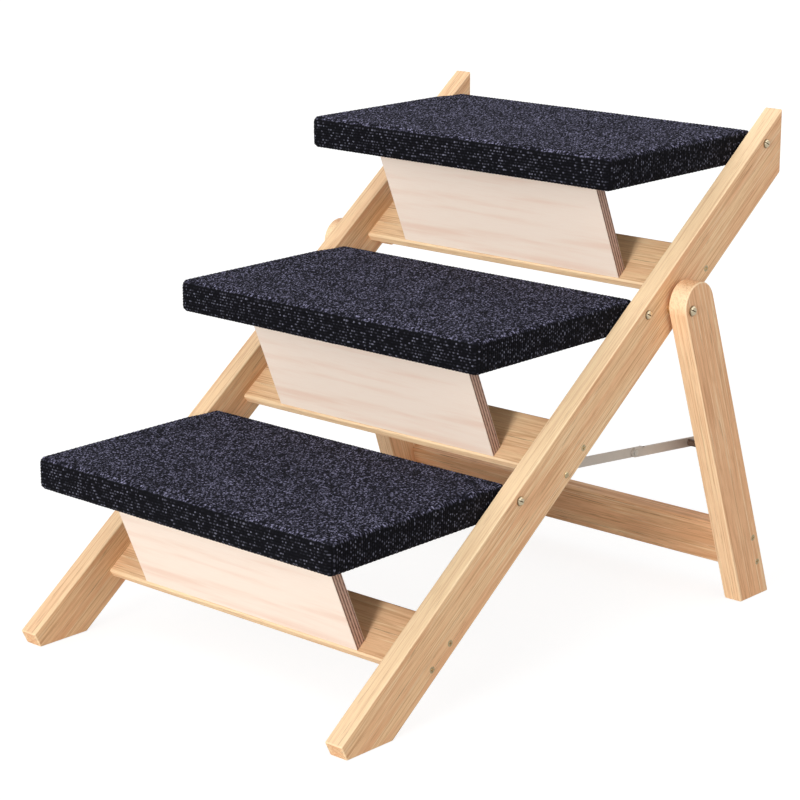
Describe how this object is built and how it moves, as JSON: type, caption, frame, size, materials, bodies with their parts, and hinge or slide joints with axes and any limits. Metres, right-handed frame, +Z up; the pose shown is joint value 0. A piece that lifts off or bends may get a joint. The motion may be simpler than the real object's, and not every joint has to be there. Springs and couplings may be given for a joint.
{
  "type": "folding pet stairs",
  "caption": "Wooden folding pet stairs: carpeted treads hinged between sloping side rails, each propped by a folding plywood panel, with a rear leg frame locked by folding steel stays.",
  "frame": {"origin": "middle of the bounding box, on the floor", "axes": "+X to the right-hand side, +Y from the lowest step to the highest, +Z up"},
  "size_m": [0.4732, 0.6318, 0.485],
  "materials": {
    "wood_rail": "sealed pine, fine grain",
    "wood_slat": "sealed pine, fine grain",
    "wood_leg": "sealed pine, fine grain",
    "plywood": "pale sanded plywood",
    "board": "plain sawn board",
    "carpet": "dark flecked low-pile carpet",
    "stay_steel": "satin zinc",
    "hinge_steel": "satin nickel",
    "fastener": "bright zinc"
  },
  "bodies": {
    "frame": {"rail_left": "wood_rail", "rail_right": "wood_rail", "lower_slat": "wood_slat", "middle_slat": "wood_slat", "upper_slat": "wood_slat", "slat_cleats": "board", "cleat_screws": "fastener", "slat_fixing_screws": "fastener", "tread_pivot_bolts": "fastener", "tread_pivot_washers": "fastener", "leg_pivot_bolts": "fastener", "leg_pivot_spacers": "fastener", "leg_pivot_inserts": "fastener", "stay_rail_bolts": "fastener", "stay_rail_sleeves": "fastener", "stay_rail_nuts": "fastener"},
    "leg_frame": {"leg_left": "wood_leg", "leg_right": "wood_leg", "leg_crossbar": "wood_leg", "crossbar_screws": "fastener", "stay_leg_spacers": "fastener", "stay_leg_studs": "fastener"},
    "stay_front_left": {"stay_front_bar_left": "stay_steel", "stay_joint_rivet_left": "stay_steel"},
    "stay_rear_left": {"stay_rear_bar_left": "stay_steel", "stay_end_rivet_left": "stay_steel"},
    "stay_front_right": {"stay_front_bar_right": "stay_steel", "stay_joint_rivet_right": "stay_steel"},
    "stay_rear_right": {"stay_rear_bar_right": "stay_steel", "stay_end_rivet_right": "stay_steel"},
    "tread_1": {"tread_board_1": "board", "tread_carpet_1": "carpet", "tread_bushes_1": "fastener", "carpet_staples_1": "fastener", "hinge_tread_leaves_1": "hinge_steel", "hinge_pins_1": "hinge_steel", "hinge_tread_screws_1": "fastener"},
    "panel_1": {"support_panel_1": "plywood", "hinge_panel_leaves_1": "hinge_steel", "hinge_panel_screws_1": "fastener"},
    "tread_2": {"tread_board_2": "board", "tread_carpet_2": "carpet", "tread_bushes_2": "fastener", "carpet_staples_2": "fastener", "hinge_tread_leaves_2": "hinge_steel", "hinge_pins_2": "hinge_steel", "hinge_tread_screws_2": "fastener"},
    "panel_2": {"support_panel_2": "plywood", "hinge_panel_leaves_2": "hinge_steel", "hinge_panel_screws_2": "fastener"},
    "tread_3": {"tread_board_3": "board", "tread_carpet_3": "carpet", "tread_bushes_3": "fastener", "carpet_staples_3": "fastener", "hinge_tread_leaves_3": "hinge_steel", "hinge_pins_3": "hinge_steel", "hinge_tread_screws_3": "fastener"},
    "panel_3": {"support_panel_3": "plywood", "hinge_panel_leaves_3": "hinge_steel", "hinge_panel_screws_3": "fastener"}
  },
  "joints": [
    {"name": "tread_1_lift", "type": "hinge", "parent": "frame", "child": "tread_1", "pos_m": [0, -0.08191, 0.17721], "axis": [-1, 0, 0], "range_deg": [0, 60]},
    {"name": "tread_2_lift", "type": "hinge", "parent": "frame", "child": "tread_2", "pos_m": [0, 0.10371, 0.31556], "axis": [-1, 0, 0], "range_deg": [0, 60]},
    {"name": "tread_3_lift", "type": "hinge", "parent": "frame", "child": "tread_3", "pos_m": [0, 0.28932, 0.45391], "axis": [-1, 0, 0], "range_deg": [0, 60]},
    {"name": "panel_1_fold", "type": "hinge", "parent": "tread_1", "child": "panel_1", "pos_m": [0, -0.24656, 0.15971], "axis": [1, 0, 0], "range_deg": [0, 66.5]},
    {"name": "panel_2_fold", "type": "hinge", "parent": "tread_2", "child": "panel_2", "pos_m": [0, -0.06095, 0.29806], "axis": [1, 0, 0], "range_deg": [0, 66.5]},
    {"name": "panel_3_fold", "type": "hinge", "parent": "tread_3", "child": "panel_3", "pos_m": [0, 0.12466, 0.43641], "axis": [1, 0, 0], "range_deg": [0, 66.5]},
    {"name": "leg_fold", "type": "hinge", "parent": "frame", "child": "leg_frame", "pos_m": [0, 0.14047, 0.31677], "axis": [-1, 0, 0], "range_deg": [0, 65]},
    {"name": "stay_front_left_swing", "type": "hinge", "parent": "frame", "child": "stay_front_left", "pos_m": [-0.1864, -0.01556, 0.18675], "axis": [1, 0, 0], "range_deg": [0, 12.8]},
    {"name": "stay_rear_left_fold", "type": "hinge", "parent": "stay_front_left", "child": "stay_rear_left", "pos_m": [-0.1864, 0.11918, 0.17373], "axis": [-1, 0, 0], "range_deg": [0, 180.5]},
    {"name": "stay_front_right_swing", "type": "hinge", "parent": "frame", "child": "stay_front_right", "pos_m": [0.1864, -0.01556, 0.18675], "axis": [1, 0, 0], "range_deg": [0, 12.8]},
    {"name": "stay_rear_right_fold", "type": "hinge", "parent": "stay_front_right", "child": "stay_rear_right", "pos_m": [0.1864, 0.11918, 0.17373], "axis": [-1, 0, 0], "range_deg": [0, 180.5]}
  ],
  "couplings": [
    {"joint": "panel_1_fold", "follows": "tread_1_lift", "ratio": 1.1},
    {"joint": "panel_2_fold", "follows": "tread_2_lift", "ratio": 1.1},
    {"joint": "panel_3_fold", "follows": "tread_3_lift", "ratio": 1.1},
    {"joint": "stay_front_left_swing", "follows": "leg_fold", "ratio": 0.19157},
    {"joint": "stay_rear_left_fold", "follows": "leg_fold", "ratio": 2.7692},
    {"joint": "stay_front_right_swing", "follows": "leg_fold", "ratio": 0.19157},
    {"joint": "stay_rear_right_fold", "follows": "leg_fold", "ratio": 2.7692}
  ]
}
